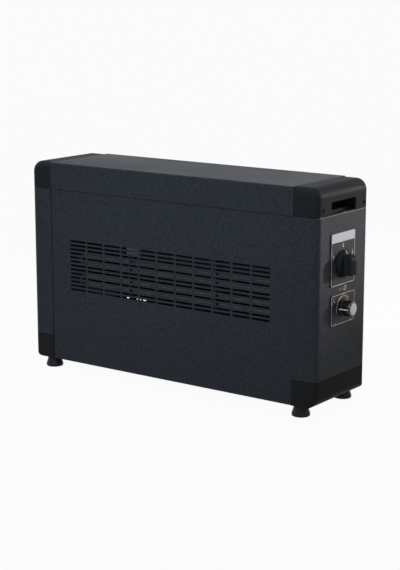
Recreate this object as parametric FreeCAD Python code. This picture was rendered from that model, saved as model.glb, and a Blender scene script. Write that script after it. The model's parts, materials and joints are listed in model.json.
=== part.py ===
import FreeCAD, Part
import math
import os

# Portable fan heater. Sizes in millimetres, angles in degrees.
# X runs along the case with the controls at the +X end, warm air leaves towards -Y, Z is up.
# The shapes are drawn about the middle of the case and moved at the end, so that the origin
# lies on the floor in the middle of the whole heater, knobs included.

# Case
body_length = 550.0
body_depth = 146.0
body_height = 327.0
foot_height = 16.5
sheet = 1.2
bend_radius = 2.0
panel_corner = 11.0
panel_flange = 8.0
return_flange = 14.0
lap = 12.0
seam = 0.6

# Moulded end caps
cap_reach = 41.0
top_cap_height = 43.0
bottom_cap_height = 38.5
cap_wall = 2.5
cap_top_round = 17.0
cap_bottom_round = 15.0

# Hand pocket in the end of each top cap
pocket_width = 70.0
pocket_height = 19.0
pocket_depth = 26.0
pocket_rise = 9.0
pocket_wall = 2.0
pocket_corner = 3.0
sill_setback = 10.0
sill_height = 4.5

# Base tray
tray_lip = 20.0
tongue_length = 24.0
tongue_width = 80.0

# Slots of the front grille and of the rear intake
slot_length = 31.8
slot_height = 3.3
column_pitch = 35.6
row_pitch = 6.63
grille_bottom = 120.0
grille_zone = 84.0
intake_bottom = 32.6
intake_zone = 53.0
intake_row_pitch = 8.0
duct_margin = 8.0
control_bay = 30.0

# Levelling feet
foot_radius = 14.0
foot_rim = 4.5
foot_edge = 1.2
neck_radius = 11.0
neck_taper = 9.0
foot_from_seam = 9.5
foot_from_front = 13.0
foot_gap = 0.2
stud_radius = 4.0
stud_seat = 5.0
stud_spare = 5.0
boss_radius = 8.0
boss_height = 20.0
insert_radius = 5.5
insert_flange = 7.0
insert_lip = 1.2

# Screws
screw_radius = 1.8
screw_head = 3.3
screw_head_height = 1.4
screw_sunk = 0.3
screw_length = 9.0
hex_across = 7.0
hex_height = 2.4
cap_screw_side = 57.5
cap_screw_rise = 9.0
screw_tab = 9.0
base_screw_side = 28.0
base_screw_reach = 16.0
wrap_screw_inset = 40.0
skirt_screw_rise = 14.0
skirt_screw_pitch = 130.0
skirt_screws = 4

# Selector switch, its plate and its knob
plate_width = 67.0
plate_thick = 1.5
plate_corner = 3.0
selector_plate_height = 78.9
selector_plate_drop = 28.2
selector_above_foot = 31.5
selector_side = -2.0
selector_disc = 20.0
selector_rim = 3.0
selector_bevel = 2.0
selector_face = 17.0
grip_width = 13.0
grip_above = 11.0
grip_below = 16.0
grip_rise = 13.0
grip_round = 2.0
switch_flange = 46.0
switch_flange_thick = 6.0
switch_deck = 38.0
switch_deck_thick = 10.0
switch_decks = 3
switch_groove = 2.0
switch_groove_depth = 1.5
shaft_radius = 3.0
shaft_hole = 5.0

# Thermostat, its plate and its knob
plate_gap = 13.3
thermostat_plate_height = 46.0
thermostat_lift = 0.6
dial_radius = 12.5
dial_height = 17.0
dial_skirt = 3.0
dial_flutes = 12
flute_radius = 2.2
flute_depth = 0.9
dial_disc = 8.8
dial_disc_thick = 1.0
thermostat_cup = 17.0
thermostat_cup_thick = 6.0
thermostat_width = 36.0
thermostat_tall = 30.0
thermostat_depth = 16.0

# Cross-flow fan
inner_sheet = 1.0
impeller_radius = 30.0
blade_root = 21.5
blade_count = 18
blade_thick = 1.0
blade_lean = 17.0
blade_bulge = 1.6
disc_thick = 2.0
hub_radius = 7.0
hub_length = 12.0
fan_axis_height = 62.0
intake_gap = 14.6
impeller_side_gap = 6.0
scroll_gap = 7.0
tongue_gap = 4.5
tongue_angle = 108.0
tongue_fall = 6.0
motor_lip_gap = 11.0
motor_lip_angle = 75.0
duct_throat = 22.0
partition_rise = 6.0
partition_foot = 12.0
duct_lip = 4.0
plate_above_axis = 32.5
plate_front = 40.0
plate_chamfer = 20.0

# Shaded-pole motor
motor_bay = 98.0
motor_post = 22.0
post_radius = 3.0
post_side = 22.0
stator_width = 56.0
stator_head = 42.0
stator_window = 14.0
stator_limb = 12.0
stator_leg = 12.0
stator_stack = 24.0
coil_over = 8.0
coil_clear = 2.0
coil_round = 4.0
rotor_radius = 15.0
rotor_end_gap = 1.0
air_gap = 0.4
axle_radius = 3.0
axle_spare = 2.0
bearing_radius = 8.0
bearing_length = 7.0
bracket_width = 14.0
bracket_thick = 1.5
bush_radius = 9.0
bush_flange = 12.0
bush_flange_thick = 2.0
bush_inside = 3.0

# Tubular heating elements
tube_radius = 4.2
element_names = ("lower", "upper")
leg_rows = 2
element_rows = 5
lowest_leg = 9.4
element_setback = 22.0
element_end_gap = 8.0
element_tail = 12.0
bead_radius = 3.4
bead_length = 6.0
pin_radius = 1.5
pin_length = 10.0
support_width = 18.0
support_inset = 120.0

# Thermal cut-out behind the top of the grille
cutout_radius = 8.0
cutout_thick = 7.0
cutout_plate_width = 28.0
cutout_plate_drop = 18.0
cutout_from_middle = 64.0

# Terminal block and cable bush
terminal_length = 44.0
terminal_width = 18.0
terminal_height = 18.0
terminal_ways = 3
terminal_well = 3.2
terminal_well_depth = 9.0
terminal_gap = 2.0
cable_bush_flange = 10.0
cable_bush_lip = 2.5
cable_bush_neck = 7.5
cable_bush_length = 12.0
cable_bush_bore = 4.3
cable_bush_height = 58.0

# Clearances
running_fit = 0.05
slip_fit = 0.05
hole_fit = 0.3
knob_gap = 0.5
past = 1.0
tiny = 1e-6

# Worked out from the sizes above
half_length = body_length / 2
half_depth = body_depth / 2
body_bottom = foot_height
body_top = body_bottom + body_height
cap_x = half_length - cap_reach
top_seam = body_top - top_cap_height
bottom_seam = body_bottom + bottom_cap_height
panel_face = half_depth - sheet
panel_back = panel_face - sheet
panel_half = cap_x - seam
panel_head = body_top - sheet
floor_z = body_bottom + cap_wall
floor_top = floor_z + sheet
tray_inside = panel_back - sheet
partition_x = cap_x - control_bay
partition_back = partition_x + inner_sheet
foot_x = cap_x + foot_from_seam
foot_y = half_depth - foot_from_front
boss_top = floor_z + boss_height
screw_seat = screw_head_height + screw_sunk

selector_plate_top = top_seam - selector_plate_drop
selector_plate_foot = selector_plate_top - selector_plate_height
selector_z = selector_plate_foot + selector_above_foot
thermostat_plate_top = selector_plate_foot - plate_gap
thermostat_plate_foot = thermostat_plate_top - thermostat_plate_height
thermostat_z = (thermostat_plate_top + thermostat_plate_foot) / 2 + thermostat_lift
plate_face = half_length + plate_thick
panel_inner_x = half_length - sheet
knob_base = plate_face + knob_gap
selector_top = knob_base + selector_rim + selector_bevel
dial_top = knob_base + dial_height
knob_reach = max(dial_top + dial_disc_thick, selector_top + grip_rise) - half_length
frame_shift = -knob_reach / 2

grille_half = partition_x - duct_margin
grille_foot = body_bottom + grille_bottom
grille_top = grille_foot + grille_zone
intake_foot = body_bottom + intake_bottom
fan_y = panel_back - intake_gap - impeller_radius
fan_z = body_bottom + fan_axis_height
scroll_radius = impeller_radius + scroll_gap
duct_ceiling = grille_top + duct_lip
impeller_right = partition_x - impeller_side_gap
motor_plate_x = -partition_x + motor_bay
motor_plate_back = motor_plate_x + inner_sheet
impeller_left = motor_plate_back + impeller_side_gap
stator_right = motor_plate_x - motor_post
stator_left = stator_right - stator_stack
stator_top = fan_z + stator_head / 2
window_top = fan_z - stator_head / 2
limb_top = window_top - stator_window
limb_foot = limb_top - stator_limb
element_y = -panel_back + element_setback
element_end = partition_back + element_tail
bead_end = element_end + bead_length


def point(x, y, z):
    return FreeCAD.Vector(x, y, z)


def block(x0, x1, y0, y1, z0, z1):
    return Part.makeBox(x1 - x0, y1 - y0, z1 - z0, point(x0, y0, z0))


def rod(radius, start, end):
    along = end - start
    return Part.makeCylinder(radius, along.Length, start, along)


def rod_x(radius, x0, x1, y, z):
    return rod(radius, point(x0, y, z), point(x1, y, z))


def rod_y(radius, x, y0, y1, z):
    return rod(radius, point(x, y0, z), point(x, y1, z))


def rod_z(radius, x, y, z0, z1):
    return rod(radius, point(x, y, z0), point(x, y, z1))


def line(a, b):
    return Part.LineSegment(a, b).toShape()


def arc(a, middle, b):
    return Part.Arc(a, middle, b).toShape()


def prism(edges, along):
    return Part.Face(Part.Wire(edges)).extrude(along)


def polygon_prism(points, along):
    return Part.Face(Part.makePolygon(points + points[:1])).extrude(along)


def flipped_x(shape):
    return shape.mirror(point(0, 0, 0), point(1, 0, 0))


def flipped_y(shape):
    return shape.mirror(point(0, 0, 0), point(0, 1, 0))


def group(solids):
    return Part.makeCompound(solids)


def round_the_fan(radius, angle, x=0.0):
    turn = math.radians(angle)
    return point(x, fan_y + radius * math.cos(turn), fan_z + radius * math.sin(turn))


# Case panels

def end_block(inset, inner_x, z0, z1):
    """Solid filling the right end of the case between two heights, with round upright corners."""
    x = half_length - inset
    y = half_depth - inset
    r = panel_corner - inset
    turn = r * (1 - math.sqrt(0.5))
    edges = [
        line(point(inner_x, -y, z0), point(x - r, -y, z0)),
        arc(point(x - r, -y, z0), point(x - turn, -y + turn, z0), point(x, -y + r, z0)),
        line(point(x, -y + r, z0), point(x, y - r, z0)),
        arc(point(x, y - r, z0), point(x - turn, y - turn, z0), point(x - r, y, z0)),
        line(point(x - r, y, z0), point(inner_x, y, z0)),
        line(point(inner_x, y, z0), point(inner_x, -y, z0)),
    ]
    return prism(edges, point(0, 0, z1 - z0))


def rim_edges(solid, z):
    """Edges round the outside of an end block at one height, without its straight inner edge."""
    rims = []
    for edge in solid.Edges:
        box = edge.BoundBox
        level = abs(box.ZMin - z) < tiny and abs(box.ZMax - z) < tiny
        if level and box.XMax > cap_x + tiny:
            rims.append(edge)
    return rims


def end_panel():
    """Sheet wrapped round the right end, folded in along its top and bottom edges."""
    outside = end_block(0.0, cap_x, bottom_seam, top_seam)
    rims = rim_edges(outside, bottom_seam) + rim_edges(outside, top_seam)
    outside = outside.makeFillet(bend_radius, rims)
    inside = end_block(sheet, cap_x - past, bottom_seam + sheet, top_seam - sheet)
    mouth = end_block(panel_flange, cap_x - past, bottom_seam - past, top_seam + past)
    panel = outside.cut(inside).cut(mouth)
    tab_x = half_length - cap_wall
    tab_z = top_seam + cap_screw_rise
    for y in (-cap_screw_side, cap_screw_side):
        tab = block(tab_x - sheet, tab_x, y - screw_tab / 2, y + screw_tab / 2,
                    top_seam - sheet / 2, tab_z + screw_tab / 2)
        hole = rod_x(screw_radius + slip_fit, tab_x - sheet - past, tab_x + past, y, tab_z)
        panel = panel.fuse(tab).cut(hole)
    return with_rear_holes(panel)


def right_end_panel():
    panel = end_panel()
    for y, z in ((selector_side, selector_z), (0.0, thermostat_z)):
        panel = panel.cut(rod_x(shaft_hole, panel_inner_x - past, half_length + past, y, z))
    return panel


def top_cover():
    """Lid with a skirt at the front and at the rear, folded from one sheet."""
    outside = block(-panel_half, panel_half, -half_depth, half_depth, top_seam, body_top)
    folds = []
    for edge in outside.Edges:
        box = edge.BoundBox
        if box.ZMin > body_top - tiny and box.XLength > panel_half:
            folds.append(edge)
    outside = outside.makeFillet(bend_radius, folds)
    inside = block(-panel_half - past, panel_half + past, -panel_face, panel_face,
                   top_seam - past, panel_head)
    return with_rear_holes(outside.cut(inside))


def slot_middles(pitch, count):
    return [(i - (count - 1) / 2) * pitch for i in range(count)]


def slot_field(foot, zone, pitch):
    """Outlines of a field of slots in the plane of the front panel."""
    columns = int((2 * grille_half + column_pitch - slot_length) / column_pitch)
    rows = int((zone + pitch - slot_height) / pitch)
    wires = []
    for x in slot_middles(column_pitch, columns):
        for rise in slot_middles(pitch, rows):
            z = foot + zone / 2 + rise
            left, right = x - slot_length / 2, x + slot_length / 2
            low, high = z - slot_height / 2, z + slot_height / 2
            corners = [point(left, -panel_face, low), point(right, -panel_face, low),
                       point(right, -panel_face, high), point(left, -panel_face, high)]
            wires.append(Part.makePolygon(corners + corners[:1]))
    return wires


def slotted_panel(slots):
    """Front panel with its slots, laps behind the end panels, and folds that meet lid and tray."""
    low = bottom_seam + 2 * sheet
    high = top_seam - 2 * sheet
    wide = cap_x + lap
    outline = [(-panel_half, body_bottom), (panel_half, body_bottom), (panel_half, low),
               (wide, low), (wide, high), (panel_half, high), (panel_half, panel_head),
               (-panel_half, panel_head), (-panel_half, high), (-wide, high),
               (-wide, low), (-panel_half, low)]
    corners = [point(x, -panel_face, z) for x, z in outline]
    rim = Part.makePolygon(corners + corners[:1])
    panel = Part.makeFace([rim] + slots, "Part::FaceMakerBullseye").extrude(point(0, sheet, 0))
    for z in (floor_z - sheet, panel_head - sheet):
        fold = block(-panel_half, panel_half, -panel_back, -panel_back + return_flange,
                     z, z + sheet)
        panel = panel.fuse(fold)
    return panel.removeSplitter()


def front_panel():
    return slotted_panel(slot_field(grille_foot, grille_zone, row_pitch))


def rear_panel():
    panel = flipped_y(slotted_panel(slot_field(intake_foot, intake_zone, intake_row_pitch)))
    hole = rod_y(cable_bush_neck + slip_fit, cable_bush_x(), panel_back - past,
                 panel_face + past, body_bottom + cable_bush_height)
    return with_rear_holes(panel.cut(hole))


def base_tray():
    """Floor with a lip along each long side and a tongue that reaches over each bottom cap."""
    tray = block(-panel_half, panel_half, -panel_back, panel_back, floor_z, floor_top)
    for y in (-panel_back, tray_inside):
        tray = tray.fuse(block(-panel_half, panel_half, y, y + sheet, floor_z, floor_top + tray_lip))
    reach = cap_x + tongue_length
    tray = tray.fuse(block(-reach, reach, -tongue_width / 2, tongue_width / 2, floor_z, floor_top))
    for x, y in base_screw_places():
        tray = tray.cut(rod_z(screw_radius + slip_fit, x, y, floor_z - past, floor_top + past))
    return tray.removeSplitter()


# Moulded caps

def cap_profile(inset, inner_x, seam_z, far_z, end_round):
    """Block over the right end from a seam to the top or bottom of the case, its far edge round."""
    way = 1 if far_z > seam_z else -1
    x = half_length - inset
    y = half_depth - inset
    z = far_z - way * inset
    r = end_round - inset
    turn = r * (1 - math.sqrt(0.5))
    low_corner = point(x, -y, seam_z)
    bend_start = point(x, -y, z - way * r)
    bend_end = point(x - r, -y, z)
    edges = [
        line(point(inner_x, -y, seam_z), low_corner),
        line(low_corner, bend_start),
        arc(bend_start, point(x - turn, -y, z - way * turn), bend_end),
        line(bend_end, point(inner_x, -y, z)),
        line(point(inner_x, -y, z), point(inner_x, -y, seam_z)),
    ]
    return prism(edges, point(0, 2 * y, 0))


def top_block(inset, inner_x, seam_z):
    """Block of the top cap, its corners and its long edges rounded alike."""
    solid = cap_profile(inset, inner_x, seam_z, body_top, cap_top_round)
    sides = []
    for edge in solid.Edges:
        box = edge.BoundBox
        on_side = box.YLength < tiny
        at_seam = abs(box.ZMin - seam_z) < tiny and box.ZLength < tiny
        at_inner = box.XMax < inner_x + tiny
        if on_side and not at_seam and not at_inner:
            sides.append(edge)
    return solid.makeFillet(panel_corner - inset, sides)


def bottom_block(inset, inner_x, seam_z):
    """Block of the bottom cap, with upright corners like the end panel's and crisp lower edges."""
    solid = cap_profile(inset, inner_x, seam_z, body_bottom, cap_bottom_round)
    return solid.common(end_block(inset, inner_x, body_bottom - past, seam_z + past))


def top_cap():
    """Right top cap with its hand pocket and two sunk screw holes in the end."""
    outside = top_block(0.0, cap_x, top_seam)
    inside = top_block(cap_wall, cap_x - past, top_seam - past)
    pocket_side = pocket_width / 2
    back = half_length - pocket_depth
    wall_face = half_length - cap_wall
    mouth_top = top_seam + pocket_height
    ceiling = mouth_top + pocket_rise
    cup = block(back - pocket_wall, wall_face, -pocket_side - pocket_wall, pocket_side + pocket_wall,
                top_seam, ceiling + pocket_wall)
    hollow = block(back, wall_face, -pocket_side, pocket_side, top_seam + pocket_wall, ceiling)
    front = half_length - sill_setback
    gap = block(front, wall_face, -pocket_side, pocket_side, top_seam - past, ceiling)
    sill = block(front - pocket_wall, front, -pocket_side, pocket_side,
                 top_seam, top_seam + sill_height)
    mouth = block(wall_face - past, half_length + past, -pocket_side, pocket_side,
                  top_seam - pocket_height, mouth_top)
    corners = []
    for edge in mouth.Edges:
        box = edge.BoundBox
        if box.XLength > past and box.ZMin > mouth_top - tiny:
            corners.append(edge)
    mouth = mouth.makeFillet(pocket_corner, corners)
    cap = outside.cut(inside).fuse(cup.cut(hollow).cut(gap)).fuse(sill).cut(mouth)
    for y in (-cap_screw_side, cap_screw_side):
        z = top_seam + cap_screw_rise
        cap = cap.cut(rod_x(screw_radius + hole_fit, wall_face - past, half_length + past, y, z))
        cap = cap.cut(rod_x(screw_head + hole_fit, half_length - screw_seat, half_length + past, y, z))
    return cap.removeSplitter()


def bottom_cap():
    """Right bottom cap with a boss for each foot and two sunk screw holes underneath."""
    outside = bottom_block(0.0, cap_x, bottom_seam)
    inside = bottom_block(cap_wall, cap_x - past, bottom_seam + past)
    cap = outside.cut(inside)
    for y in (-foot_y, foot_y):
        cap = cap.fuse(rod_z(boss_radius, foot_x, y, floor_z - cap_wall / 2, boss_top))
        cap = cap.cut(rod_z(insert_radius + slip_fit, foot_x, y, body_bottom - past, boss_top + past))
    for x, y in base_screw_places():
        if x > 0:
            cap = cap.cut(rod_z(screw_radius + hole_fit, x, y, body_bottom - past, floor_z + past))
            cap = cap.cut(rod_z(screw_head + hole_fit, x, y, body_bottom - past,
                                body_bottom + screw_seat))
    return cap.removeSplitter()


# Screws

def cap_screws():
    screws = []
    seat = half_length - screw_seat
    z = top_seam + cap_screw_rise
    for y in (-cap_screw_side, cap_screw_side):
        head = rod_x(screw_head, seat, seat + screw_head_height, y, z)
        screw = head.fuse(rod_x(screw_radius, seat - screw_length, seat, y, z))
        screws += [screw, flipped_x(screw)]
    return group(screws)


def base_screw_places():
    x = cap_x + base_screw_reach
    return [(sx * x, sy * base_screw_side) for sx in (-1, 1) for sy in (-1, 1)]


def base_screws():
    screws = []
    seat = body_bottom + screw_seat
    for x, y in base_screw_places():
        head = rod_z(screw_head, x, y, seat - screw_head_height, seat)
        screws.append(head.fuse(rod_z(screw_radius, x, y, seat, seat + screw_length)))
    return group(screws)


def rear_screw_places():
    """Screws that hold the end panels and the lid to the rear panel."""
    wrap_x = cap_x + lap / 2
    places = []
    for x in (-wrap_x, wrap_x):
        places += [(x, bottom_seam + wrap_screw_inset), (x, top_seam - wrap_screw_inset)]
    for x in slot_middles(skirt_screw_pitch, skirt_screws):
        places.append((x, top_seam + skirt_screw_rise))
    return places


def with_rear_holes(shape):
    for x, z in rear_screw_places():
        hole = rod_y(screw_radius + slip_fit, x, panel_back - past, half_depth + past, z)
        if shape.BoundBox.isInside(point(x, half_depth - sheet, z)):
            shape = shape.cut(hole)
    return shape


def rear_screws():
    screws = []
    for x, z in rear_screw_places():
        corners = []
        for i in range(6):
            turn = math.radians(60 * i)
            reach = hex_across / math.sqrt(3)
            corners.append(point(x + reach * math.cos(turn), half_depth, z + reach * math.sin(turn)))
        head = polygon_prism(corners, point(0, hex_height, 0))
        shank = rod_y(screw_radius, x, half_depth - screw_length, half_depth, z)
        screws.append(head.fuse(shank))
    return group(screws)


# Levelling feet

def foot_places():
    return {
        "front_left": (-foot_x, -foot_y),
        "front_right": (foot_x, -foot_y),
        "rear_left": (-foot_x, foot_y),
        "rear_right": (foot_x, foot_y),
    }


def foot_pad(x, y):
    """Turned pad with a bevelled rim, a tapered shoulder and a blind hole for its stud."""
    top = body_bottom - foot_gap
    shoulder = foot_rim + neck_taper
    edges = [
        line(point(0, 0, 0), point(foot_radius - foot_edge, 0, 0)),
        line(point(foot_radius - foot_edge, 0, 0), point(foot_radius, 0, foot_edge)),
        line(point(foot_radius, 0, foot_edge), point(foot_radius, 0, foot_rim)),
        line(point(foot_radius, 0, foot_rim), point(neck_radius, 0, shoulder)),
        line(point(neck_radius, 0, shoulder), point(neck_radius, 0, top)),
        line(point(neck_radius, 0, top), point(0, 0, top)),
        line(point(0, 0, top), point(0, 0, 0)),
    ]
    pad = Part.Face(Part.Wire(edges)).revolve(point(0, 0, 0), point(0, 0, 1), 360)
    pad = pad.cut(rod_z(stud_radius + slip_fit, 0, 0, stud_seat, top + past))
    pad.translate(point(x, y, 0))
    return pad


def foot_stud(x, y):
    return rod_z(stud_radius, x, y, stud_seat, boss_top + insert_lip + stud_spare)


def foot_inserts():
    """Threaded bushes that sit in the bosses of the bottom caps."""
    bushes = []
    for x, y in foot_places().values():
        bush = rod_z(insert_radius, x, y, floor_z, boss_top)
        bush = bush.fuse(rod_z(insert_flange, x, y, boss_top, boss_top + insert_lip))
        bore = rod_z(stud_radius + running_fit, x, y, floor_z - past, boss_top + insert_lip + past)
        bushes.append(bush.cut(bore))
    return group(bushes)


# Controls on the right end

def control_plate(z0, z1, shaft_z):
    """Flat plate on the end panel with rounded corners and a hole for the shaft."""
    plate = block(half_length, plate_face, -plate_width / 2, plate_width / 2, z0, z1)
    corners = [edge for edge in plate.Edges if edge.BoundBox.XLength > plate_thick / 2]
    plate = plate.makeFillet(plate_corner, corners)
    return plate.cut(rod_x(shaft_hole, half_length - past, plate_face + past, 0, shaft_z))


def selector_switch():
    """Cam switch: a square flange behind the panel and a stack of decks with grooves between."""
    back = panel_inner_x - switch_flange_thick
    half = switch_flange / 2
    body = block(back, panel_inner_x, -half, half, selector_z - half, selector_z + half)
    half = switch_deck / 2
    thin = half - switch_groove_depth
    for deck in range(switch_decks):
        front = back - deck * (switch_deck_thick + switch_groove)
        body = body.fuse(block(front - switch_groove, front, -thin, thin,
                               selector_z - thin, selector_z + thin))
        body = body.fuse(block(front - switch_groove - switch_deck_thick, front - switch_groove,
                               -half, half, selector_z - half, selector_z + half))
    bore = rod_x(shaft_radius + running_fit, switch_shaft_end() - past, panel_inner_x + past,
                 0, selector_z)
    return body.cut(bore).removeSplitter()


def switch_shaft_end():
    return panel_inner_x - switch_flange_thick - switch_decks * switch_deck_thick


def selector_knob():
    """Round disc with a bevelled rim and a bar to hold, its top end rounded off to the disc."""
    rim = rod_x(selector_disc, knob_base, knob_base + selector_rim, 0, selector_z)
    bevel = Part.makeCone(selector_disc, selector_face, selector_bevel,
                          point(knob_base + selector_rim, 0, selector_z), point(1, 0, 0))
    side = grip_width / 2
    low = selector_z - grip_below
    high = selector_z + grip_above
    nose = high - grip_rise
    turn = grip_rise * math.sqrt(0.5)
    root = selector_top - selector_bevel
    front = selector_top + grip_rise
    edges = [
        line(point(root, -side, low), point(front, -side, low)),
        line(point(front, -side, low), point(front, -side, nose)),
        arc(point(front, -side, nose), point(selector_top + turn, -side, nose + turn),
            point(selector_top, -side, high)),
        line(point(selector_top, -side, high), point(root, -side, high)),
        line(point(root, -side, high), point(root, -side, low)),
    ]
    grip = prism(edges, point(0, grip_width, 0))
    flank_edges = []
    for edge in grip.Edges:
        box = edge.BoundBox
        if box.YLength < tiny and box.ZLength > tiny and box.XMax > selector_top + tiny:
            flank_edges.append(edge)
    grip = grip.makeFillet(grip_round, flank_edges)
    knob = rim.fuse(bevel).fuse(grip)
    return knob.cut(rod_x(shaft_radius + slip_fit, knob_base - past, selector_top, 0, selector_z))


def selector_shaft():
    return rod_x(shaft_radius, switch_shaft_end(), selector_top, 0, selector_z)


def thermostat_body():
    """Round front cup and a moulded box behind it, with a bore for the spindle."""
    back = panel_inner_x - thermostat_cup_thick
    cup = rod_x(thermostat_cup, back, panel_inner_x, 0, thermostat_z)
    box = block(back - thermostat_depth, back, -thermostat_width / 2, thermostat_width / 2,
                thermostat_z - thermostat_tall / 2, thermostat_z + thermostat_tall / 2)
    bore = rod_x(shaft_radius + running_fit, back - past, panel_inner_x + past, 0, thermostat_z)
    return cup.fuse(box).cut(bore)


def thermostat_spindle():
    return rod_x(shaft_radius, panel_inner_x - thermostat_cup_thick, dial_top - dial_height / 2,
                 0, thermostat_z)


def thermostat_knob():
    """Fluted knob with a plain skirt at its foot."""
    knob = rod_x(dial_radius, knob_base, dial_top, 0, thermostat_z)
    for i in range(dial_flutes):
        turn = 2 * math.pi * (i + 0.5) / dial_flutes
        reach = dial_radius + flute_radius - flute_depth
        flute = rod_x(flute_radius, knob_base + dial_skirt, dial_top + past,
                      reach * math.cos(turn), thermostat_z + reach * math.sin(turn))
        knob = knob.cut(flute)
    return knob.cut(rod_x(shaft_radius + slip_fit, knob_base - past, dial_top - dial_height / 2,
                          0, thermostat_z))


def thermostat_knob_disc():
    return rod_x(dial_disc, dial_top, dial_top + dial_disc_thick, 0, thermostat_z)


# Fan housing

def tangent_angle(y, z, way):
    """Angle on the scroll circle where a straight line from a point outside meets it smoothly."""
    towards = math.degrees(math.atan2(z - fan_z, y - fan_y))
    apart = math.hypot(y - fan_y, z - fan_z)
    return towards + way * math.degrees(math.acos(scroll_radius / apart))


def scroll_ends():
    front = (-panel_back, grille_foot - duct_lip)
    rear = (panel_back, intake_foot - duct_lip)
    return front, rear


def scroll_height(y):
    """Height of the straight front run of the scroll at a depth y."""
    (front_y, front_z), rear = scroll_ends()
    foot = round_the_fan(scroll_radius, tangent_angle(front_y, front_z, 1))
    return front_z + (y - front_y) * (foot.z - front_z) / (foot.y - front_y)


def fan_scroll():
    """Sheet that runs under the impeller and rises to the foot of the grille."""
    (front_y, front_z), (rear_y, rear_z) = scroll_ends()
    front_turn = tangent_angle(front_y, front_z, 1)
    rear_turn = tangent_angle(rear_y, rear_z, -1) + 360
    middle_turn = (front_turn + rear_turn) / 2
    x = motor_plate_back
    curves = []
    for radius in (scroll_radius, scroll_radius + inner_sheet):
        start = round_the_fan(radius, front_turn, x)
        end = round_the_fan(radius, rear_turn, x)
        out = radius - scroll_radius
        outward = round_the_fan(1.0, front_turn, x) - round_the_fan(0.0, front_turn, x)
        run = point(x, front_y, front_z) + outward * out - start
        far_front = start + run * (1 + past / run.Length)
        outward = round_the_fan(1.0, rear_turn, x) - round_the_fan(0.0, rear_turn, x)
        run = point(x, rear_y, rear_z) + outward * out - end
        far_rear = end + run * (1 + past / run.Length)
        curves.append((far_front, start, round_the_fan(radius, middle_turn, x), end, far_rear))
    inner, outer = curves
    edges = [
        line(inner[0], inner[1]),
        arc(inner[1], inner[2], inner[3]),
        line(inner[3], inner[4]),
        line(inner[4], outer[4]),
        line(outer[4], outer[3]),
        arc(outer[3], outer[2], outer[1]),
        line(outer[1], outer[0]),
        line(outer[0], inner[0]),
    ]
    strip = prism(edges, point(partition_x - motor_plate_back, 0, 0))
    room = block(motor_plate_back, partition_x, -panel_back, panel_back, body_bottom, body_top)
    return strip.common(room)


def folded_strip(places, thick, x0, x1):
    """Sheet of even thickness along a line of (y, z) places, thickened upwards."""
    normals = []
    for (y0, z0), (y1, z1) in zip(places, places[1:]):
        run = math.hypot(y1 - y0, z1 - z0)
        normals.append(((z1 - z0) / run, (y0 - y1) / run))
    upper = []
    for i, (y, z) in enumerate(places):
        before = normals[max(i - 1, 0)]
        after = normals[min(i, len(normals) - 1)]
        share = thick / (1 + before[0] * after[0] + before[1] * after[1])
        upper.append((y + share * (before[0] + after[0]), z + share * (before[1] + after[1])))
    outline = places + upper[::-1]
    return polygon_prism([point(x0, y, z) for y, z in outline], point(x1 - x0, 0, 0))


def tongue_places(gap, angle):
    """Section of the tongue from the rear panel, by way of its lip, to the front of the duct."""
    lip = round_the_fan(impeller_radius + gap, angle)
    return [
        (panel_back + past, lip.z + tongue_fall),
        (lip.y, lip.z),
        (element_y + duct_throat, duct_ceiling),
        (-panel_back - past, duct_ceiling),
    ]


def fan_tongue():
    """Sheet with a lip close over the impeller that rises to the duct ceiling.

    Over the motor the lip stands higher and further back, and a web closes the step."""
    low = tongue_places(tongue_gap, tongue_angle)
    high = tongue_places(motor_lip_gap, motor_lip_angle)
    strip = folded_strip(low, inner_sheet, motor_plate_x, partition_x)
    strip = strip.fuse(folded_strip(high, inner_sheet, -partition_x, motor_plate_back))
    step = low[:3] + high[1::-1]
    web = polygon_prism([point(motor_plate_x, y, z) for y, z in step], point(inner_sheet, 0, 0))
    room = block(-partition_x, partition_x, -panel_back, panel_back, body_bottom, body_top)
    return strip.fuse(web).common(room).removeSplitter()


def partition():
    """Wall between the air duct and the right end of the case, with a foot on the tray."""
    top = duct_ceiling + partition_rise
    wall = block(partition_x, partition_back, -tray_inside, tray_inside, floor_top, top)
    foot = block(partition_x, partition_x + partition_foot, -tray_inside, tray_inside,
                 floor_top, floor_top + inner_sheet)
    return wall.fuse(foot).removeSplitter()


def right_partition():
    wall = partition()
    for z in leg_heights():
        wall = wall.cut(rod_x(tube_radius + slip_fit, partition_x - past, partition_back + past,
                              element_y, z))
    return wall.cut(rod_x(bush_radius + slip_fit, partition_x - past, partition_back + past,
                          fan_y, fan_z))


def motor_plate():
    """Left wall of the fan, with a foot on the tray, which carries the motor."""
    top = fan_z + plate_above_axis
    front = fan_y - plate_front
    outline = [(front, floor_top), (tray_inside, floor_top), (tray_inside, top),
               (front + plate_chamfer, top), (front, top - plate_chamfer)]
    wall = polygon_prism([point(motor_plate_x, y, z) for y, z in outline], point(inner_sheet, 0, 0))
    foot = block(motor_plate_back - partition_foot, motor_plate_back, front, tray_inside,
                 floor_top, floor_top + inner_sheet)
    hole = rod_x(bearing_radius + hole_fit, motor_plate_x - past, motor_plate_back + past,
                 fan_y, fan_z)
    return wall.fuse(foot).cut(hole).removeSplitter()


# Impeller, motor and shafts

def blade():
    """One curved blade, as long as the impeller."""
    x = impeller_left
    root = round_the_fan(blade_root, 0, x)
    tip = round_the_fan(impeller_radius, blade_lean, x)
    chord = tip - root
    side = point(0, -chord.z, chord.y).normalize()
    middle = (root + tip) * 0.5 + side * blade_bulge
    thick = side * blade_thick
    edges = [
        arc(root, middle, tip),
        line(tip, tip + thick),
        arc(tip + thick, middle + thick, root + thick),
        line(root + thick, root),
    ]
    return prism(edges, point(impeller_right - impeller_left, 0, 0))


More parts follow.
